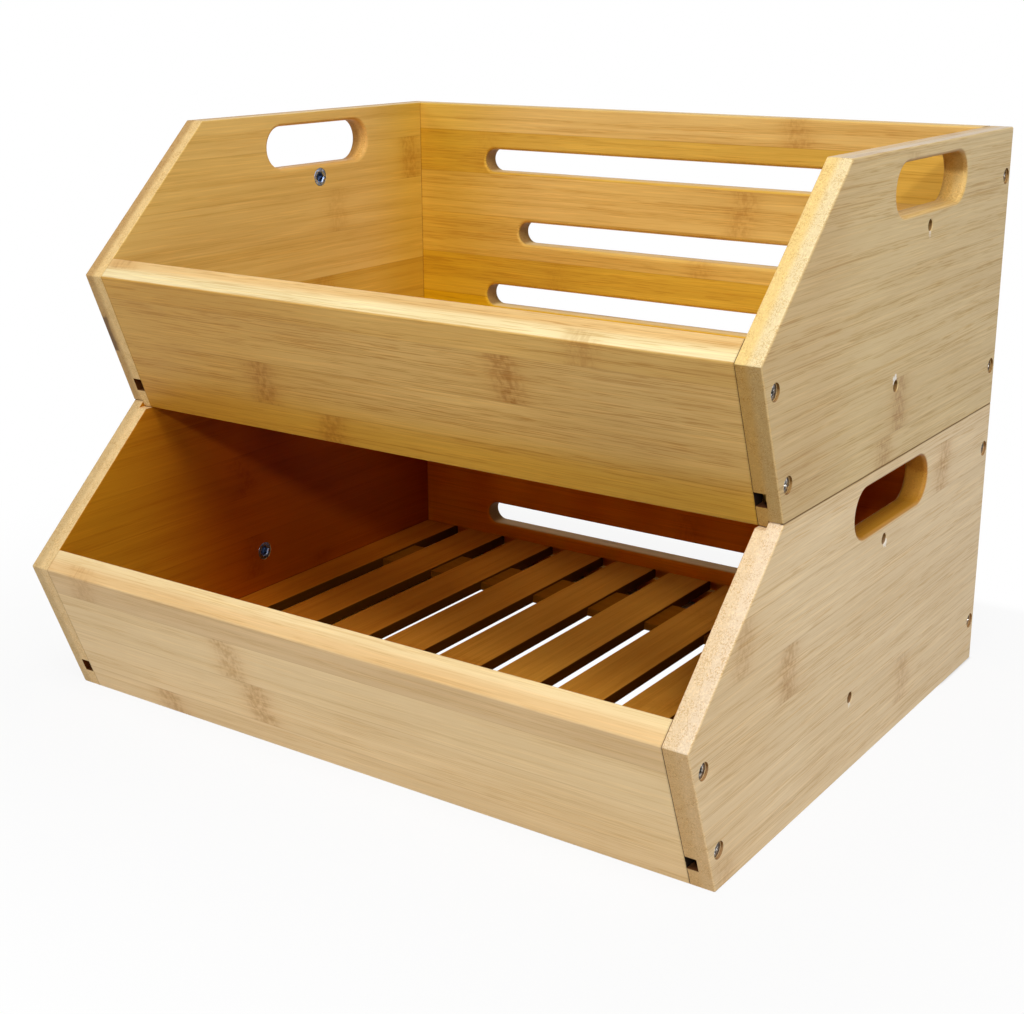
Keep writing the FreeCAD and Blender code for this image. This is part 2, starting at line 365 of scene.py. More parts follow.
# What the boards share; a board's own dictionary changes what differs
bambooBoard = {
    "stripWidth": 0.0255, "stripShift": 0.0, "hiddenShift": 0.083, "cloud": 0.5, "band": 0.35, "pale": 0.55,
    "cutPale": 0.8, "lines": 0.85, "specks": 1.0, "seam": 0.3, "cutSmooth": 0.2, "halo": 0.5, "marks": 0.8,
    "roughness": 0.44, "lineRoughness": 0.12, "cutRoughness": 0.14, "shadeRoughness": 0.5, "gloss": 0.3,
    "bump": 0.25, "bumpDepth": 0.0002, "lineRelief": -0.2, "bandRelief": 0.1, "knuckleRelief": 2.0,
    "lowEdgeLight": (1, 1, 1, 1), "topEdgeLight": (1, 1, 1, 1), "cutEndShade": (1, 1, 1, 1), "deepen": (), "chips": (),
    "holes": (), "stain": None, "grip": None, "joint": None, "ends": None, "groove": None,
}


def stripTable(tree, strips, look):
    rows, span = look["strips"], look["span"]
    # tone, knuckle place and knuckle strength of each strip, bottom to top on the face that shows
    table = tree.nodes.new("ShaderNodeValToRGB")
    table.color_ramp.interpolation = "CONSTANT"
    while len(table.color_ramp.elements) < len(rows):
        table.color_ramp.elements.new(1.0)
    for number, (tone, place, strength) in enumerate(rows):
        entry = table.color_ramp.elements[number]
        entry.position = number / len(rows)
        entry.color = (tone, (place - span[0]) / (span[1] - span[0]), strength, 1.0)
    shown = calc(tree, "DIVIDE", plus(tree, strips["Index"], 0.5), float(len(rows)))
    feed(tree, table.inputs[0], mixValue(tree, strips["Ply"], minus(tree, 1.0, shown), shown))
    entries = tree.nodes.new("ShaderNodeSeparateColor")
    feed(tree, entries.inputs[0], table.outputs[0])
    place = plus(tree, times(tree, entries.outputs[1], span[1] - span[0]), span[0])
    place = plus(tree, place, times(tree, minus(tree, 1.0, strips["Ply"]), look["hiddenShift"]))
    return entries.outputs[0], place, entries.outputs[2]


def plyColours(tree, look, strips, tone, faces, where):
    x, y, z = split(tree, where["Object"])
    low = mixColour(tree, tone, *look["backPly"])
    high = mixColour(tree, tone, *look["frontPly"])
    face = mixColour(tree, strips["Ply"], low, high)
    for deeper in look["deepen"]:
        # the ply that shows is tinted towards one end; on the lower bin's left side, back and slats this is
        # painted shade
        amount = rangeOf(tree, (x, y, z)[deeper["axis"]], deeper["from"], deeper["to"])
        amount = times(tree, amount, mixValue(tree, strips["Ply"], deeper.get("hiddenPly", 0.0), 1.0))
        face = tintBy(tree, amount, face, deeper["tint"])
    rim = mixColour(tree, strips["Blend"], *look["edgePlies"])
    # painted light and shade: edges facing downwards and upwards are tinted by how the light falls on them
    rim = tintBy(tree, faces["Below"], rim, look["lowEdgeLight"])
    edge = tintBy(tree, faces["Above"], rim, look["topEdgeLight"])
    # painted shade on faces cut across the grain, such as the ends of the back boards' slots
    edge = tintBy(tree, faces["Cut"], edge, look["cutEndShade"])
    base = mixColour(tree, faces["Edge"], face, edge)
    grip = look["grip"]
    if grip:
        # the cut round a hand hole is more golden than the sloping edge, and round the lower hole painted
        # darker still: painted shade
        aside = minus(tree, gapTo(tree, y, grip["y"]), grip["halfFlat"])
        away = joined(tree, larger(tree, aside, 0.0), minus(tree, z, grip["z"]), 0.0)
        past = minus(tree, vectorCalc(tree, "LENGTH", away), grip["radius"])
        inGrip = fallOf(tree, past, *grip["rim"])
        base = mixColour(tree, inGrip, base, tintBy(tree, 1.0, rim, grip["tint"]))
    return base


def wornPlaces(tree, look, faces, where, colour):
    for chip in look["chips"]:
        torn = useGroup(
            tree, raggedSpot, Vector=where["Object"], Place=chip["place"], Radius=chip["radius"]
        )
        colour = mixColour(tree, times(tree, torn["Mask"], chip["strength"]), colour, chip["colour"])
    stain = look["stain"]
    if stain:
        # a dark smear along the outer corner of the front edge
        x, y, z = split(tree, where["Object"])
        wave = times(tree, sway(tree, noise(tree, where["Object"], stain["scale"])), stain["wave"])
        reach = plus(tree, x, times(tree, wave, stain["waveAcross"]))
        smear = rangeOf(tree, reach, stain["to"], stain["from"])
        height = gapTo(tree, plus(tree, z, wave), stain["middle"])
        smear = times(tree, smear, fallOf(tree, height, stain["half"] - stain["soft"], stain["half"]))
        inFront = rangeOf(tree, y, stain["front"], stain["front"] - stain["frontSoft"])
        smear = times(tree, times(tree, smear, inFront), times(tree, faces["Edge"], stain["strength"]))
        colour = mixColour(tree, smear, colour, stain["colour"])
    return colour


def shadedPlaces(tree, look, faces, where, colour, rough):
    x, y, z = split(tree, where["Object"])
    dulled = []
    joint = look["joint"]
    if joint:
        # the shaded line where one bin stands on the other
        near = fallOf(tree, gapTo(tree, z, joint["z"]), *joint["width"])
        near = times(tree, near, rangeOf(tree, sizeOf(tree, x), *joint["outside"]))
        colour = mixColour(tree, times(tree, near, joint["strength"]), colour, joint["shade"])
        dulled.append(near)
    ends = look["ends"]
    if ends:
        # painted shade: a faint dark line where the board meets the sides, and its end faces, which lie in
        # the dark, painted almost black
        close = rangeOf(tree, sizeOf(tree, x), ends["from"], ends["to"])
        colour = mixColour(tree, times(tree, close, faces["Cut"]), colour, ends["recessShade"])
        close = times(tree, close, ends["strength"])
        colour = tintBy(tree, close, colour, ends["shade"])
        dulled.append(close)
    for spot in look["holes"]:
        # the walls of a hole lie in shade
        away = joined(tree, minus(tree, y, spot["y"]), minus(tree, z, spot["z"]), 0.0)
        away = vectorCalc(tree, "LENGTH", away)
        within = fallOf(tree, away, spot["radius"], spot["radius"] + holeWalls["soft"])
        within = times(tree, within, faces["Edge"])
        colour = tintBy(tree, within, colour, holeWalls["shade"])
        dulled.append(within)
    groove = look["groove"]
    if groove:
        # and so do the ends of the groove for the base
        inHeight = gapTo(tree, z, groove["z"])
        inHeight = fallOf(tree, inHeight, groove["halfHeight"], groove["halfHeight"] + groove["soft"])
        inWidth = gapTo(tree, sizeOf(tree, x), groove["x"])
        inWidth = fallOf(tree, inWidth, groove["halfWidth"], groove["halfWidth"] + groove["soft"])
        within = times(tree, inHeight, inWidth)
        colour = tintBy(tree, within, colour, groove["shade"])
        dulled.append(within)
    for mask in dulled:
        rough = plus(tree, rough, times(tree, mask, look["shadeRoughness"]))
    return colour, rough


def dressBamboo(look):
    material, tree, shader = newMaterial(look["name"])
    where = tree.nodes.new("ShaderNodeTexCoord").outputs
    turn = tree.nodes.new("ShaderNodeMapping")
    turn.inputs["Rotation"].default_value = look["turn"].to_euler()
    turn.inputs["Location"].default_value = -(look["turn"] @ Vector(look["corner"]))
    feed(tree, turn.inputs["Vector"], where["Object"])
    vector = turn.outputs[0]

    strips = useGroup(
        tree, stripLayout, Vector=vector,
        Width=look["stripWidth"], Shift=look["stripShift"], Seed=look["seed"],
    )
    if "strips" in look:
        tone, place, strength = stripTable(tree, strips, look)
    else:
        tone, first, strength = split(tree, strips["Random"])
        place = plus(tree, times(tree, first, look["span"][1] - look["span"][0]), look["span"][0])
    fibres = useGroup(tree, bambooFibres, Vector=vector, Random=strips["Random"])
    knuckle = useGroup(tree, bambooKnuckle, Vector=vector, Place=place, Random=strips["Random"])
    faces = useGroup(
        tree, boardFaces, Normal=where["Normal"], Grain=look["turn"][0], Through=look["turn"][2]
    )

    smooth = mixValue(tree, faces["Cut"], 1.0, look["cutSmooth"])  # clouds and seams fade on cut ends
    onFace = times(tree, minus(tree, 1.0, faces["Cut"]), strength)
    tinted = useGroup(
        tree, bambooTint, Base=plyColours(tree, look, strips, tone, faces, where),
        Cloud=times(tree, times(tree, fibres["Cloud"], smooth), look["cloud"]),
        Band=times(tree, times(tree, fibres["Band"], smooth), look["band"]),
        Pale=times(tree, fibres["Pale"], mixValue(tree, faces["Cut"], look["pale"], look["cutPale"])),
        Lines=times(tree, fibres["Lines"], mixValue(tree, faces["Cut"], look["lines"], look["specks"])),
        Seam=times(tree, times(tree, strips["Seam"], smooth), look["seam"]),
        Halo=times(tree, times(tree, knuckle["Halo"], onFace), look["halo"]),
        Marks=times(tree, times(tree, knuckle["Marks"], onFace), look["marks"]),
    )
    colour = wornPlaces(tree, look, faces, where, tinted["Color"])
    rough = plus(tree, times(tree, fibres["Lines"], look["lineRoughness"]), look["roughness"])
    rough = plus(tree, rough, times(tree, faces["Cut"], look["cutRoughness"]))
    colour, rough = shadedPlaces(tree, look, faces, where, colour, rough)
    feed(tree, shader.inputs["Base Color"], colour)
    feed(tree, shader.inputs["Roughness"], rough)
    shader.inputs["Specular IOR Level"].default_value = look["gloss"]

    relief = times(tree, times(tree, knuckle["Relief"], strength), look["knuckleRelief"])
    relief = plus(tree, relief, times(tree, fibres["Lines"], look["lineRelief"]))
    relief = plus(tree, relief, times(tree, fibres["Band"], look["bandRelief"]))
    bump = tree.nodes.new("ShaderNodeBump")
    bump.inputs["Strength"].default_value = look["bump"]
    bump.inputs["Distance"].default_value = look["bumpDepth"]
    feed(tree, bump.inputs["Height"], relief)
    feed(tree, shader.inputs["Normal"], bump.outputs[0])
    for node in look["nodes"]:
        nodes[node].data.materials.clear()
        nodes[node].data.materials.append(material)


# Fasteners; the boards take the places of their holes from these
crossScrew = {
    "headRadius": 0.0037, "headHeight": 0.0022, "headRim": 0.00030, "holeRadius": 0.0041,
    "neckRadius": 0.00172, "plainShank": 0.006, "taper": 0.0005, "coreRadius": 0.00130, "length": 0.032,
    "point": 0.005, "pointScale": 0.08, "threadGap": 0.0008, "threadDepth": 0.00042, "pitch": 0.0016,
    "turns": 12, "crossLength": 0.0042, "crossWidth": 0.0011, "crossDepth": 0.0014, "crossTaper": 0.5,
}
hexInsert = {
    "flangeRadius": 0.0052, "flange": 0.001, "flangeRim": 0.00045, "holeRadius": 0.0031,
    "barrelRadius": 0.0042, "length": 0.0086, "boreRadius": 0.0025, "boreLength": 0.03,
    "hexRadius": 0.0030, "hexDepth": 0.0032, "mouthDepth": 0.0005, "mouthRise": 0.0006, "mouthScale": 1.22,
    "threadGap": 0.0004, "threadDepth": 0.00035, "pitch": 0.0008, "turns": 6,
}


def screwPlaces(node):
    low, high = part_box(node)
    head = crossScrew["headRadius"]
    # the lower screw, then the upper one, which stands further forward in a front board
    return (high[1] - head, low[2] + head), (low[1] + head, high[2] - head)


def insertPlaces(node):
    low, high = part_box(node)
    rim = hexInsert["flangeRadius"]
    return (low[1] + rim, low[2] + rim), (high[1] - rim, high[2] - rim)


def holesOf(binName):
    # screw and bolt holes of one bin's sides
    spots = []
    for node in (binName + "_front_screws", binName + "_back_screws"):
        for y, z in screwPlaces(node):
            spots.append({"y": y, "z": z, "radius": crossScrew["holeRadius"]})
    for y, z in insertPlaces(binName + "_post_inserts"):
        spots.append({"y": y, "z": z, "radius": hexInsert["holeRadius"]})
    return spots


# Bamboo colours, pale and deep
paleOutside = ((0.85, 0.66, 0.40, 1), (0.75, 0.56, 0.32, 1))
strawOutside = ((0.73, 0.56, 0.29, 1), (0.64, 0.46, 0.21, 1))
goldenInside = ((0.82, 0.56, 0.19, 1), (0.68, 0.39, 0.035, 1))
# the lower bin's inside is painted deeper and redder than the upper bin's: painted shade
shadedRussetInside = ((0.58, 0.22, 0.010, 1), (0.48, 0.165, 0.006, 1))
chipPale = (0.93, 0.89, 0.83, 1)

# Places that the boards share
holeWalls = {"soft": 0.0004, "shade": (0.42, 0.30, 0.18, 1)}
# painted shade where the front and back boards meet the sides
boardEnds = {
    "from": 0.1797, "to": 0.1802, "strength": 0.25,
    "shade": (0.26, 0.13, 0.05, 1), "recessShade": (0.02, 0.008, 0.003, 1),
}
insideEnds = {**boardEnds, "strength": 0.5}
# painted shade on the ends of the back boards' slots
slotEndShade = (0.42, 0.35, 0.28, 1)
stackJoint = {
    "z": 0.1467, "width": (0.0001, 0.0007), "outside": (0.1905, 0.1915), "strength": 0.85,
    "shade": (0.16, 0.075, 0.015, 1),
}
# round the lower hand hole the golden tint is darkened with painted shade
lowerGrip = {
    "y": 0.03175, "z": 0.1285, "halfFlat": 0.0312, "radius": 0.0118, "rim": (0.0008, 0.0018),
    "tint": (0.55, 0.32, 0.04, 1),
}
upperGrip = {**lowerGrip, "y": 0.05625, "z": lowerGrip["z"] + upperLift, "tint": (0.90, 0.74, 0.45, 1)}
lowerGroove = {
    "z": 0.01275, "x": 0.1829, "halfHeight": 0.0033, "halfWidth": 0.0032, "soft": 0.0002,
    "shade": (0.20, 0.09, 0.03, 1),
}
upperGroove = {**lowerGroove, "z": lowerGroove["z"] + upperLift}

sideBoard = {**bambooBoard, "turn": turnSide, "span": (-0.17, 0.17), "joint": stackJoint}
frontBoard = {**bambooBoard, "turn": turnFront, "span": (-0.2, 0.2), "stripWidth": 0.025, "ends": boardEnds}
backBoard = {
    **bambooBoard, "turn": turnBack, "span": (-0.2, 0.2), "stripShift": 0.0215, "ends": insideEnds,
    "cutEndShade": slotEndShade,
}

lowerRightSide = {
    "name": "lowerRightBamboo", "nodes": ["lower_right_side"], "seed": 3.0,
    "corner": (sideMiddle, 0.0, 0.0),
    "backPly": shadedRussetInside, "frontPly": paleOutside, "stripShift": 0.0125,
    "edgePlies": ((0.80, 0.61, 0.38, 1), (0.83, 0.66, 0.46, 1)), "lowEdgeLight": (0.81, 0.69, 0.48, 1),
    "grip": lowerGrip, "holes": holesOf("lower"), "groove": lowerGroove, "lines": 0.75, "band": 0.22,
    "deepen": ({"axis": 1, "from": -0.06, "to": -0.12, "tint": (0.98, 0.95, 0.90, 1)},),
    "strips": (
        (0.5, -0.130, 0.5), (0.45, 0.060, 0.6), (0.35, 0.0, 0.0), (0.5, -0.076, 1.0), (0.4, -0.118, 0.6),
        (0.3, 0.096, 0.9), (0.4, 0.0, 0.0),
    ),
    "chips": (
        {"place": (0.1925, 0.0258, 0.1064), "radius": 0.0018, "strength": 0.7, "colour": chipPale},
        {"place": (0.1925, -0.0062, 0.0354), "radius": 0.0012, "strength": 0.6, "colour": chipPale},
    ),
}
dressBamboo({**sideBoard, **lowerRightSide})

upperRightSide = {
    "name": "upperRightBamboo", "nodes": ["upper_right_side"], "seed": 5.0,
    "corner": (sideMiddle, 0.0, upperLift),
    "backPly": goldenInside, "frontPly": strawOutside, "stripShift": 0.0085,
    "edgePlies": ((0.85, 0.61, 0.24, 1), (0.83, 0.67, 0.38, 1)),
    "lowEdgeLight": (0.56, 0.46, 0.31, 1), "topEdgeLight": (0.80, 0.80, 1.04, 1),
    "grip": upperGrip, "holes": holesOf("upper"), "groove": upperGroove, "lines": 0.9, "band": 0.25,
    "deepen": ({"axis": 1, "from": -0.01, "to": -0.07, "tint": (0.94, 0.90, 0.87, 1)},),
    "strips": (
        (0.5, 0.015, 0.9), (0.6, 0.032, 1.0), (0.4, 0.0, 0.0), (0.5, 0.0, 0.0), (0.6, 0.0, 0.0),
        (0.4, 0.031, 0.5), (0.5, 0.0, 0.0),
    ),
    "chips": (
        {"place": (0.1925, 0.0562, 0.2496), "radius": 0.0016, "strength": 0.5, "colour": chipPale},
        {"place": (0.1925, 0.0246, 0.1862), "radius": 0.0022, "strength": 0.85, "colour": chipPale},
    ),
}
dressBamboo({**sideBoard, **upperRightSide})

lowerLeftSide = {
    "name": "lowerLeftBamboo", "nodes": ["lower_left_side"], "seed": 11.0,
    "corner": (-sideMiddle, 0.0, 0.0),
    # its inside ply is painted deep russet: painted shade
    "backPly": paleOutside, "frontPly": ((0.58, 0.255, 0.012, 1), (0.48, 0.195, 0.007, 1)),
    "edgePlies": ((0.66, 0.47, 0.23, 1), (0.80, 0.58, 0.29, 1)), "lowEdgeLight": (1.05, 1.05, 1.10, 1),
    "stripShift": 0.0005, "grip": lowerGrip, "holes": holesOf("lower"), "groove": lowerGroove,
    "lines": 0.45, "marks": 0.6, "gloss": 0.1,
    # painted shade: darker and redder towards the back
    "deepen": ({"axis": 1, "from": -0.13, "to": -0.02, "tint": (0.72, 0.32, 0.07, 1)},),
    "strips": (
        (0.6, 0.043, 0.8), (0.6, -0.014, 0.9), (0.5, 0.0, 0.0), (0.6, -0.020, 0.9), (0.5, 0.0, 0.0),
        (0.3, 0.0, 0.0),
    ),
}
dressBamboo({**sideBoard, **lowerLeftSide})

upperLeftSide = {
    "name": "upperLeftBamboo", "nodes": ["upper_left_side"], "seed": 13.0,
    "corner": (-sideMiddle, 0.0, upperLift),
    "backPly": strawOutside, "frontPly": goldenInside,
    "edgePlies": ((0.56, 0.35, 0.14, 1), (0.84, 0.59, 0.267, 1)),
    "stripShift": 0.0005, "grip": upperGrip, "holes": holesOf("upper"), "groove": upperGroove,
    "lines": 0.4, "band": 0.5, "marks": 0.6, "gloss": 0.2,
    "deepen": ({"axis": 1, "from": 0.09, "to": 0.145, "tint": (0.93, 0.89, 0.45, 1)},),
    # strip tones vary from strip to strip and are deeper in the lower strips: painted shade
    "strips": (
        (0.95, 0.0, 0.0), (0.75, 0.057, 0.6), (0.3, 0.0, 0.0), (0.2, 0.070, 0.5), (0.25, 0.141, 1.0),
        (0.15, 0.0, 0.0),
    ),
    "stain": {
        "from": -0.1895, "to": -0.1875, "middle": 0.185, "half": 0.011, "soft": 0.002, "front": -0.088,
        "frontSoft": 0.003, "scale": 160.0, "wave": 0.008, "waveAcross": 0.3, "strength": 0.85,
        "colour": (0.16, 0.09, 0.045, 1),
    },
}
dressBamboo({**sideBoard, **upperLeftSide})

lowerFront = {
    "name": "lowerFrontBamboo", "nodes": ["lower_front_board"], "seed": 23.0,
    "corner": (0.0, binBack - lowerDepth + boardThick / 2 / math.cos(lean), 0.0),
    "backPly": shadedRussetInside, "frontPly": ((0.94, 0.71, 0.39, 1), (0.79, 0.55, 0.28, 1)),
    "edgePlies": ((0.95, 0.76, 0.43, 1), (0.82, 0.56, 0.27, 1)),
    "stripShift": 0.0085, "hiddenShift": -0.3, "lines": 0.5, "band": 0.3, "pale": 0.4,
    "strips": ((0.4, -0.121, 1.0), (0.25, -0.0535, 1.0), (0.15, -0.0635, 0.9), (0.9, -0.159, 0.6)),
}
dressBamboo({**frontBoard, **lowerFront})

upperFront = {
    "name": "upperFrontBamboo", "nodes": ["upper_front_board"], "seed": 25.0,
    "corner": (0.0, binBack - upperDepth + boardThick / 2 / math.cos(lean), upperLift),
    "backPly": goldenInside, "frontPly": ((0.83, 0.57, 0.225, 1), (0.71, 0.38, 0.036, 1)),
    "edgePlies": ((0.82, 0.55, 0.24, 1), (0.95, 0.80, 0.46, 1)),
    "stripShift": 0.006, "hiddenShift": -0.12, "lines": 1.0,
    "deepen": (
        {"axis": 0, "from": 0.02, "to": -0.14, "tint": (0.88, 0.78, 0.52, 1)},
        {"axis": 0, "from": 0.05, "to": 0.14, "tint": (0.87, 0.88, 0.95, 1)},
        {"axis": 2, "from": upperLift + 0.030, "to": upperLift + 0.008, "tint": (0.94, 0.83, 0.36, 1)},
    ),
    "strips": ((0.45, -0.05, 0.9), (0.35, -0.0885, 1.0), (0.3, 0.065, 1.0), (0.5, 0.107, 0.6)),
}
dressBamboo({**frontBoard, **upperFront})

lowerBack = {
    "name": "lowerBackBamboo", "nodes": ["lower_back_board"], "seed": 37.0,
    "corner": (0.0, binBack - boardThick / 2, 0.0),
    # its inside ply is painted deep russet: painted shade
    "backPly": paleOutside, "frontPly": ((0.88, 0.27, 0.006, 1), (0.78, 0.215, 0.0045, 1)),
    "edgePlies": ((0.72, 0.42, 0.12, 1), (0.72, 0.42, 0.12, 1)), "lines": 0.4, "gloss": 0.08,
    # painted shade: darker towards the right end
    "deepen": ({"axis": 0, "from": 0.08, "to": 0.135, "tint": (0.55, 0.36, 0.25, 1)},),
    "strips": (
        (0.8, 0.0, 0.0), (0.7, 0.11, 0.5), (0.6, 0.02, 0.6), (0.6, 0.1, 0.6), (0.5, -0.05, 0.6),
        (0.5, -0.12, 0.6), (0.4, 0.0, 0.0),
    ),
}
dressBamboo({**backBoard, **lowerBack})

upperBack = {
    "name": "upperBackBamboo", "nodes": ["upper_back_board"], "seed": 39.0,
    "corner": (0.0, binBack - boardThick / 2, upperLift),
    "backPly": strawOutside, "frontPly": ((0.88, 0.59, 0.23, 1), (0.74, 0.42, 0.012, 1)),
    "edgePlies": (goldenInside[0], goldenInside[0]),
    "lines": 0.8, "band": 0.5, "gloss": 0.2, "marks": 0.5, "halo": 0.4,
    "deepen": ({"axis": 0, "from": -0.08, "to": -0.17, "tint": (0.92, 0.88, 0.42, 1)},),
    # strip tones vary from strip to strip and are deeper in the lower strips: painted shade
    "strips": (
        (1.0, -0.1, 0.5), (1.0, 0.12, 0.5), (0.85, -0.08, 0.4), (0.5, 0.0215, 0.7), (0.35, 0.0457, 1.0),
        (0.7, -0.13, 0.4), (0.25, 0.077, 1.0),
    ),
}
dressBamboo({**backBoard, **upperBack})

baseSlats = {
    "turn": turnSlat, "stripWidth": 0.03846, "stripShift": 0.0055, "hiddenShift": 0.0, "span": (-0.2, 0.2),
    "left": -0.1858, "height": 0.0126, "lines": 0.45,
    # the slat tones deepen towards the left: painted shade
    "strips": (  # from the right to the left
        (0.1, 0.0, 0.0), (0.2, 0.05, 0.3), (0.1, -0.02, 0.3), (0.2, 0.1, 0.3), (0.15, 0.0, 0.0),
        (0.3, -0.03, 0.5), (0.5, -0.035, 0.5), (0.7, 0.02, 0.3), (0.85, 0.0, 0.0), (1.0, 0.0, 0.0),
    ),
}
baseRails = {
    "turn": turnRail, "stripWidth": 0.06, "span": (-0.3, 0.3), "height": 0.01, "lines": 0.25, "cloud": 0.2,
    "marks": 0.0, "halo": 0.0,
}
baseColours = {
    # the lower bin's slats, rails and slat sides are painted deeper and darker than the upper bin's, and
    # its slats darker towards the front: painted shade
    "lower": {
        "slatSeed": 51.0, "railSeed": 67.0, "gloss": 0.0, "sides": (0.11, 0.033, 0.002, 1),
        "slats": ((0.70, 0.33, 0.045, 1), (0.50, 0.145, 0.008, 1)),
        "rails": ((0.28, 0.095, 0.005, 1), (0.21, 0.065, 0.003, 1)),
        "deepen": (
            {"axis": 1, "from": -0.02, "to": -0.11, "tint": (0.72, 0.68, 0.80, 1), "hiddenPly": 1.0},
        ),
    },
    "upper": {
        "slatSeed": 57.0, "railSeed": 73.0, "gloss": 0.2, "sides": (0.50, 0.28, 0.04, 1),
        "slats": goldenInside, "rails": ((0.62, 0.36, 0.06, 1), (0.52, 0.29, 0.04, 1)), "deepen": (),
    },
}
for lift, binName in ((0.0, "lower"), (upperLift, "upper")):
    own = baseColours[binName]
    shared = {**bambooBoard, "gloss": own["gloss"], "deepen": own["deepen"]}
    dressBamboo({
        **shared, **baseSlats, "name": binName + "SlatBamboo", "seed": own["slatSeed"],
        "backPly": own["slats"], "frontPly": own["slats"], "edgePlies": (own["sides"], own["sides"]),
        "nodes": [f"{binName}_slat_{number}" for number in range(1, 11)],
        "corner": (baseSlats["left"], 0.0, lift + baseSlats["height"]),
    })
    dressBamboo({
        **shared, **baseRails, "name": binName + "RailBamboo", "seed": own["railSeed"],
        "backPly": own["rails"], "frontPly": own["rails"], "edgePlies": own["rails"],
        "nodes": [binName + "_back_rail", binName + "_front_rail"],
        "corner": (0.0, 0.0, lift + baseRails["height"]),
    })
print("bamboo done")


# Fasteners are modelled upright, with the face that shows at z = 0, then turned into the sides.
def useOnly(*pieces):
    bpy.ops.object.select_all(action="DESELECT")
    for piece in pieces:
        piece.select_set(True)
    bpy.context.view_layer.objects.active = pieces[0]


def pick(piece, kind, test):
    bpy.ops.mesh.select_mode(type=kind)
    bpy.ops.mesh.select_all(action="DESELECT")
    mesh = bmesh.from_edit_mesh(piece.data)
    for part in mesh.faces if kind == "FACE" else mesh.edges:
        part.select_set(test(part))
    bmesh.update_edit_mesh(piece.data)


def extrude(rise):
    bpy.ops.mesh.extrude_region_move(TRANSFORM_OT_translate={"value": (0, 0, rise)})


def widen(share):
    bpy.ops.transform.resize(value=(share, share, 1))


def isLowest(piece):
    lowest = min(corner.co.z for corner in piece.data.vertices)
    return lambda face: all(abs(corner.co.z - lowest) < 1e-6 for corner in face.verts)


def pickLowest(piece):
    piece.update_from_editmode()
    pick(piece, "FACE", isLowest(piece))


def isTopRim(radius):
    def atRim(corner):
        return abs(corner.co.z) < 1e-6 and abs(corner.co.xy.length - radius) < 1e-5
    return lambda edge: all(atRim(corner) for corner in edge.verts)


def cutWith(piece, *cutters):
    for cutter in cutters:
        useOnly(piece)
        cut = piece.modifiers.new("cut", "BOOLEAN")
        cut.object = cutter
        cut.solver = "EXACT"
        bpy.ops.object.modifier_apply(modifier=cut.name)
        useOnly(cutter)
        bpy.ops.object.delete()


def applyPlace():
    bpy.ops.object.transform_apply(location=True, rotation=True, scale=True)


threadWind = {"steps": 18, "sunk": 0.00005}


def threadCoil(look, radius, start, inward):
    # a three-sided profile wound round the axis
    bpy.ops.object.select_all(action="DESELECT")
    tip = -1 if inward else 1
    depth = look["threadDepth"]
    middle = radius - tip * threadWind["sunk"] + tip * depth / 3
    bpy.ops.mesh.primitive_circle_add(
        vertices=3, radius=depth * 2 / 3, location=(middle, 0, start), rotation=(math.radians(90), 0, 0)
    )
    coil = bpy.context.object
    bpy.ops.object.mode_set(mode="EDIT")
    bpy.ops.mesh.select_all(action="SELECT")
    bpy.ops.transform.rotate(value=math.radians(90 * tip), orient_axis="Y", center_override=coil.location)
    bpy.ops.object.mode_set(mode="OBJECT")
    applyPlace()
    wind = coil.modifiers.new("wind", "SCREW")
    wind.axis = "Z"
    wind.screw_offset = -look["pitch"]
    wind.iterations = look["turns"]
    wind.steps = wind.render_steps = threadWind["steps"]
    bpy.ops.object.modifier_apply(modifier=wind.name)
    bpy.ops.object.mode_set(mode="EDIT")
    bpy.ops.mesh.select_all(action="SELECT")
    bpy.ops.mesh.fill_holes(sides=3)
    bpy.ops.mesh.normals_make_consistent(inside=False)
    bpy.ops.object.mode_set(mode="OBJECT")
    return coil


def joinPieces(*pieces):
    useOnly(*pieces)
    bpy.ops.object.join()
    return bpy.context.object


def modelScrew(look):
    bpy.ops.object.select_all(action="DESELECT")
    bpy.ops.mesh.primitive_cylinder_add(
        vertices=40, radius=look["headRadius"], depth=look["headHeight"],
        location=(0, 0, -look["headHeight"] / 2),
    )
    screw = bpy.context.object
    applyPlace()
    bpy.ops.object.mode_set(mode="EDIT")
    pickLowest(screw)
    widen(look["neckRadius"] / look["headRadius"])
    extrude(-look["plainShank"])
    extrude(-look["taper"])
    widen(look["coreRadius"] / look["neckRadius"])
    extrude(-(look["length"] - look["headHeight"] - look["plainShank"] - look["taper"] - look["point"]))
    extrude(-look["point"])
    widen(look["pointScale"])
    pick(screw, "EDGE", isTopRim(look["headRadius"]))
    bpy.ops.mesh.bevel(offset=look["headRim"], segments=3)
    bpy.ops.object.mode_set(mode="OBJECT")

    bars = []
    for angle in (0, 90):
        bpy.ops.object.select_all(action="DESELECT")
        bpy.ops.mesh.primitive_cube_add(size=1, location=(0, 0, 0))
        bar = bpy.context.object
        bar.scale = (look["crossLength"], look["crossWidth"], look["crossDepth"] * 2)
        bar.rotation_euler = (0, 0, math.radians(angle))
        applyPlace()
        bpy.ops.object.mode_set(mode="EDIT")
        pickLowest(bar)
        widen(look["crossTaper"])
        bpy.ops.object.mode_set(mode="OBJECT")
        bars.append(bar)
    cutWith(screw, *bars)

    start = -look["headHeight"] - look["plainShank"] - look["threadGap"]
    return joinPieces(screw, threadCoil(look, look["coreRadius"], start, False))


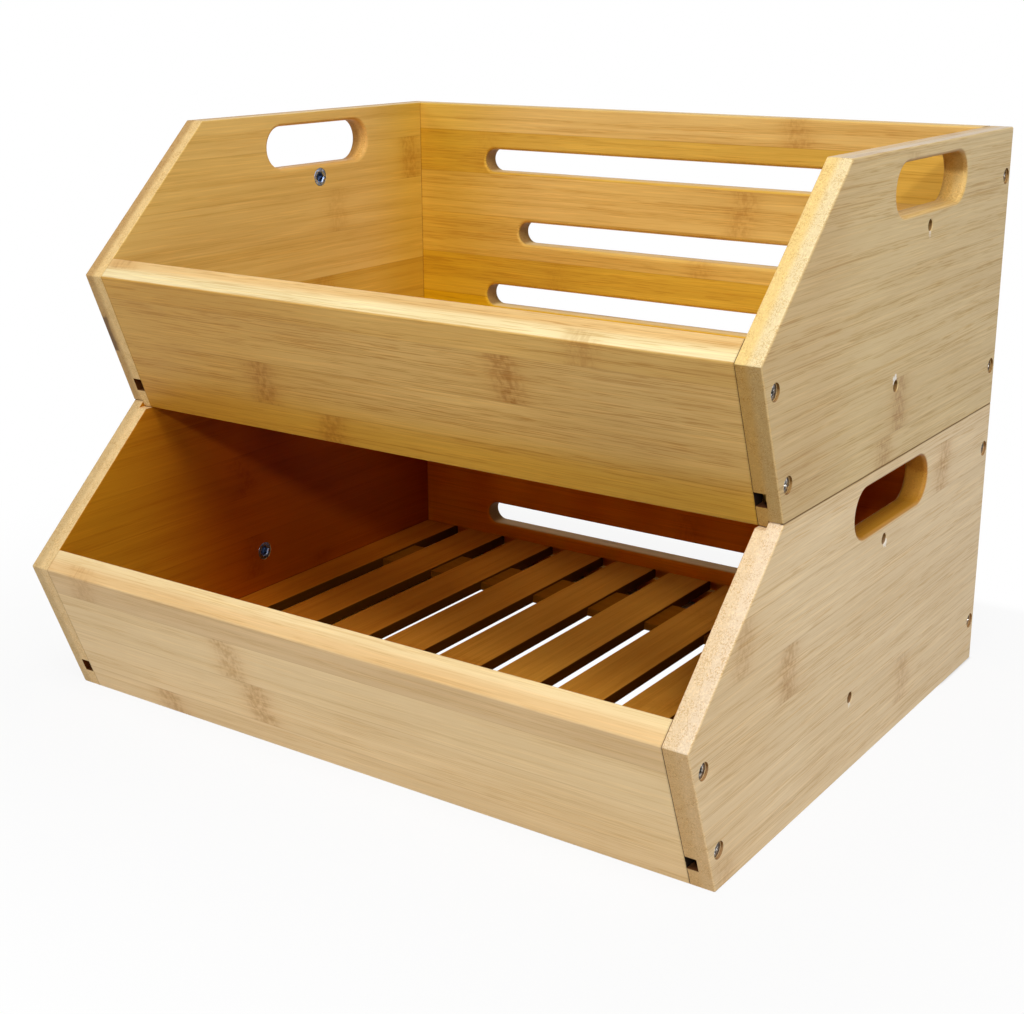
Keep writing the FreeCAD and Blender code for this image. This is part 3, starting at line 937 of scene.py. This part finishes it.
def modelInsert(look):
    bpy.ops.object.select_all(action="DESELECT")
    bpy.ops.mesh.primitive_cylinder_add(
        vertices=48, radius=look["flangeRadius"], depth=look["flange"], location=(0, 0, -look["flange"] / 2)
    )
    insert = bpy.context.object
    applyPlace()
    bpy.ops.object.mode_set(mode="EDIT")
    pickLowest(insert)
    bpy.ops.mesh.inset(thickness=look["flangeRadius"] - look["barrelRadius"])
    extrude(-(look["length"] - look["flange"]))
    pick(insert, "EDGE", isTopRim(look["flangeRadius"]))
    bpy.ops.mesh.bevel(offset=look["flangeRim"], segments=4)
    bpy.ops.object.mode_set(mode="OBJECT")

    cutters = []
    hexagon = (6, look["hexRadius"], look["hexDepth"] * 2)
    bore = (36, look["boreRadius"], look["boreLength"])
    for sides, radius, depth in (hexagon, bore):
        bpy.ops.object.select_all(action="DESELECT")
        bpy.ops.mesh.primitive_cylinder_add(vertices=sides, radius=radius, depth=depth, location=(0, 0, 0))
        cutters.append(bpy.context.object)
    useOnly(cutters[0])  # the hexagon gets a slanted mouth
    bpy.ops.object.mode_set(mode="EDIT")
    bpy.ops.mesh.select_all(action="SELECT")
    bpy.ops.mesh.bisect(
        plane_co=(0, 0, -look["mouthDepth"]), plane_no=(0, 0, 1), clear_outer=True, use_fill=True
    )
    pick(cutters[0], "FACE", lambda face: face.normal.z > 0.9)
    extrude(look["mouthRise"])
    widen(look["mouthScale"])
    bpy.ops.object.mode_set(mode="OBJECT")
    cutWith(insert, *cutters)

    start = -look["hexDepth"] - look["threadGap"]
    return joinPieces(insert, threadCoil(look, look["boreRadius"], start, True))


# Painted glints and shade: a shallow scatter of bright and dark spots on the zinc
glintSpots = {
    "scale": 1100.0, "detail": 3.0, "roughness": 0.65, "dullSpots": (0.34, 0.58), "dullRoughness": 0.22,
}


def glintsGroup():
    tree, given, out = startGroup(
        "zincGlints",
        {"Vector": "Vector", "Bright": "Color", "Dull": "Color"},
        {"Color": "Color", "DullSpots": "Float"},
    )
    look = glintSpots
    spots = noise(tree, given["Vector"], look["scale"], look["detail"], look["roughness"])
    dullSpots = rangeOf(tree, spots, *look["dullSpots"])
    feed(tree, out["Color"], mixColour(tree, dullSpots, given["Bright"], given["Dull"]))
    feed(tree, out["DullSpots"], dullSpots)
    return tree


zincGlints = glintsGroup()
screwZinc = {
    "name": "screwZinc", "bright": (0.80, 0.78, 0.74, 1), "dull": (0.09, 0.08, 0.07, 1), "roughness": 0.16,
}
insertZinc = {
    "name": "insertBlueZinc", "bright": (0.50, 0.60, 0.80, 1), "dull": (0.13, 0.18, 0.30, 1),
    "roughness": 0.14,
}


def dressPlating(look):
    material, tree, shader = newMaterial(look["name"])
    where = tree.nodes.new("ShaderNodeTexCoord").outputs["Object"]
    glints = useGroup(tree, zincGlints, Vector=where, Bright=look["bright"], Dull=look["dull"])
    feed(tree, shader.inputs["Base Color"], glints["Color"])
    shader.inputs["Metallic"].default_value = 1.0
    rough = plus(tree, times(tree, glints["DullSpots"], glintSpots["dullRoughness"]), look["roughness"])
    feed(tree, shader.inputs["Roughness"], rough)
    return material


def placeCopies(model, name, spots, node, body, material):
    copies = []
    for (x, y, z), facing, angle in spots:
        useOnly(model)
        bpy.ops.object.duplicate()
        copy = bpy.context.object
        copy.matrix_world = (
            Matrix.Translation((x, y, z)) @ Matrix.Rotation(math.radians(90 * facing), 4, "Y")
            @ Matrix.Rotation(math.radians(angle), 4, "Z")
        )
        applyPlace()
        copies.append(copy)
    piece = joinPieces(*copies)
    piece.name = piece.data.name = name
    bpy.ops.object.shade_smooth_by_angle(angle=math.radians(32))
    piece.data.materials.clear()
    piece.data.materials.append(material)
    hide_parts(node)
    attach(piece, body)


screwModel = modelScrew(crossScrew)
insertModel = modelInsert(hexInsert)
screwMetal = dressPlating(screwZinc)
insertMetal = dressPlating(insertZinc)
turned = (20, 65, 38, 5)  # how far each screw stands turned
insertTurn = 9  # more or less on each side
for binName in ("lower", "upper"):
    body = binName + "_bin"
    for which in ("front", "back"):
        node = f"{binName}_{which}_screws"
        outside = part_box(node)[1][0]
        spots = [
            ((side * outside, y, z), side, turned[2 * number + (side > 0)])
            for number, (y, z) in enumerate(screwPlaces(node)) for side in (-1, 1)
        ]
        name = f"{binName}{which.capitalize()}Screws"
        placeCopies(screwModel, name, spots, node, body, screwMetal)
    node = binName + "_post_inserts"
    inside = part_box(node)[1][0] - hexInsert["length"]
    spots = [
        ((side * inside, y, z), -side, turned[number] + insertTurn * side)
        for number, (y, z) in enumerate(insertPlaces(node)) for side in (-1, 1)
    ]
    placeCopies(insertModel, binName + "PostInserts", spots, node, body, insertMetal)
useOnly(screwModel, insertModel)
bpy.ops.object.delete()
print("fasteners done")


def seenDirectly(tree):
    # by the camera, or mirrored in something
    rays = tree.nodes.new("ShaderNodeLightPath").outputs
    mirrored = larger(tree, rays["Is Glossy Ray"], rays["Is Transmission Ray"])
    return larger(tree, rays["Is Camera Ray"], mirrored)


# The floor shows white, apart from the shade under the bin and a trace of shadow round its front and sides.
paleFloor = {
    "size": 40.0, "drop": 0.0002, "albedo": 0.7, "nearWhite": 0.90, "reach": 0.30, "halfWidth": 0.19,
    "back": 0.163, "behind": 0.10, "front": -0.13, "underSoft": 0.004,
    "leftShade": (-0.132, -0.118), "backShade": (0.112, 0.126),
}
bpy.ops.object.select_all(action="DESELECT")
bpy.ops.mesh.primitive_plane_add(size=paleFloor["size"], location=(0, 0, -paleFloor["drop"]))
floor = bpy.context.object
floor.name = "floor"
applyPlace()
paint = bpy.data.materials.new("paleFloor")
paint.use_nodes = True
tree = paint.node_tree
tree.nodes.remove(tree.nodes["Principled BSDF"])
matte = tree.nodes.new("ShaderNodeBsdfDiffuse")
matte.inputs["Color"].default_value = (paleFloor["albedo"],) * 3 + (1,)
glow = tree.nodes.new("ShaderNodeEmission")
x, y = split(tree, tree.nodes.new("ShaderNodeTexCoord").outputs["Object"])[:2]
outX = larger(tree, minus(tree, sizeOf(tree, x), paleFloor["halfWidth"]), 0.0)
outY = larger(tree, minus(tree, y, paleFloor["back"]), minus(tree, paleFloor["front"], y))
outside = vectorCalc(tree, "LENGTH", joined(tree, outX, larger(tree, outY, 0.0), 0.0))
white = rangeOf(tree, outside, 0.0, paleFloor["reach"], paleFloor["nearWhite"], 1.0)
under = fallOf(tree, outside, 0.0, paleFloor["underSoft"])
leftShade = fallOf(tree, x, *paleFloor["leftShade"])
backShade = rangeOf(tree, y, *paleFloor["backShade"])
shaded = times(tree, under, larger(tree, leftShade, backShade))
behind = rangeOf(tree, y, paleFloor["back"], paleFloor["back"] + paleFloor["behind"])
white = larger(tree, times(tree, larger(tree, white, under), minus(tree, 1.0, shaded)), behind)
blend = tree.nodes.new("ShaderNodeMixShader")
feed(tree, blend.inputs[0], times(tree, seenDirectly(tree), white))
feed(tree, blend.inputs[1], matte.outputs[0])
feed(tree, blend.inputs[2], glow.outputs[0])
feed(tree, tree.nodes["Material Output"].inputs["Surface"], blend.outputs[0])
floor.data.materials.append(paint)

studioWorld = {"fill": 0.025}
world = bpy.data.worlds.new("studio")
scene.world = world
world.use_nodes = True
tree = world.node_tree
sky = tree.nodes["Background"]
sky.inputs["Color"].default_value = (1, 1, 1, 1)
feed(tree, sky.inputs["Strength"], mixValue(tree, seenDirectly(tree), studioWorld["fill"], 1.0))

studioLamps = {  # compass angle from the front towards the right, height angle, distance
    "keyLamp": {"angle": 33.0, "height": 58.0, "away": 2.0, "size": 0.9, "power": 28.0},
    "lowLamp": {"angle": 35.0, "height": 27.0, "away": 2.0, "size": 0.12, "power": 9.0},
    "leftLamp": {"angle": -40.0, "height": 25.0, "away": 2.0, "size": 0.6, "power": 5.5},
    "rightLamp": {"angle": 90.0, "height": 15.0, "away": 2.0, "size": 0.7, "power": 6.0},
    "backLamp": {"angle": -145.0, "height": 4.0, "away": 2.0, "size": 0.9, "power": 16.0},
}
aim = Vector((0.0, 0.0, 0.14))
for name, look in studioLamps.items():
    data = bpy.data.lights.new(name, "AREA")
    data.size = look["size"]
    data.energy = look["power"]
    lamp = bpy.data.objects.new(name, data)
    angle = math.radians(look["angle"])
    height = math.radians(look["height"])
    level = math.cos(height)
    way = Vector((math.sin(angle) * level, -math.cos(angle) * level, math.sin(height)))
    lamp.location = aim + way * look["away"]
    lamp.rotation_euler = (-way).to_track_quat("-Z", "Y").to_euler()
    scene.collection.objects.link(lamp)
    lamp.visible_camera = lamp.visible_glossy = name != "backLamp"  # only fills the sides turned away

stageCamera = {
    "place": (0.462319, -0.665941, 0.354813), "turn": (73.17551, 0.08373, 34.41430),
    "lens": 56.79, "sensor": 36.0, "shift": (-0.01600, -0.02249), "nearest": 0.01,
}
cameraData = bpy.data.cameras.new("camera")
cameraData.sensor_width = stageCamera["sensor"]
cameraData.lens = stageCamera["lens"]
cameraData.shift_x, cameraData.shift_y = stageCamera["shift"]
cameraData.clip_start = stageCamera["nearest"]
camera = bpy.data.objects.new("camera", cameraData)
camera.location = stageCamera["place"]
camera.rotation_euler = [math.radians(angle) for angle in stageCamera["turn"]]
scene.collection.objects.link(camera)
scene.camera = camera
scene.view_settings.view_transform = "Standard"
print("stage done")
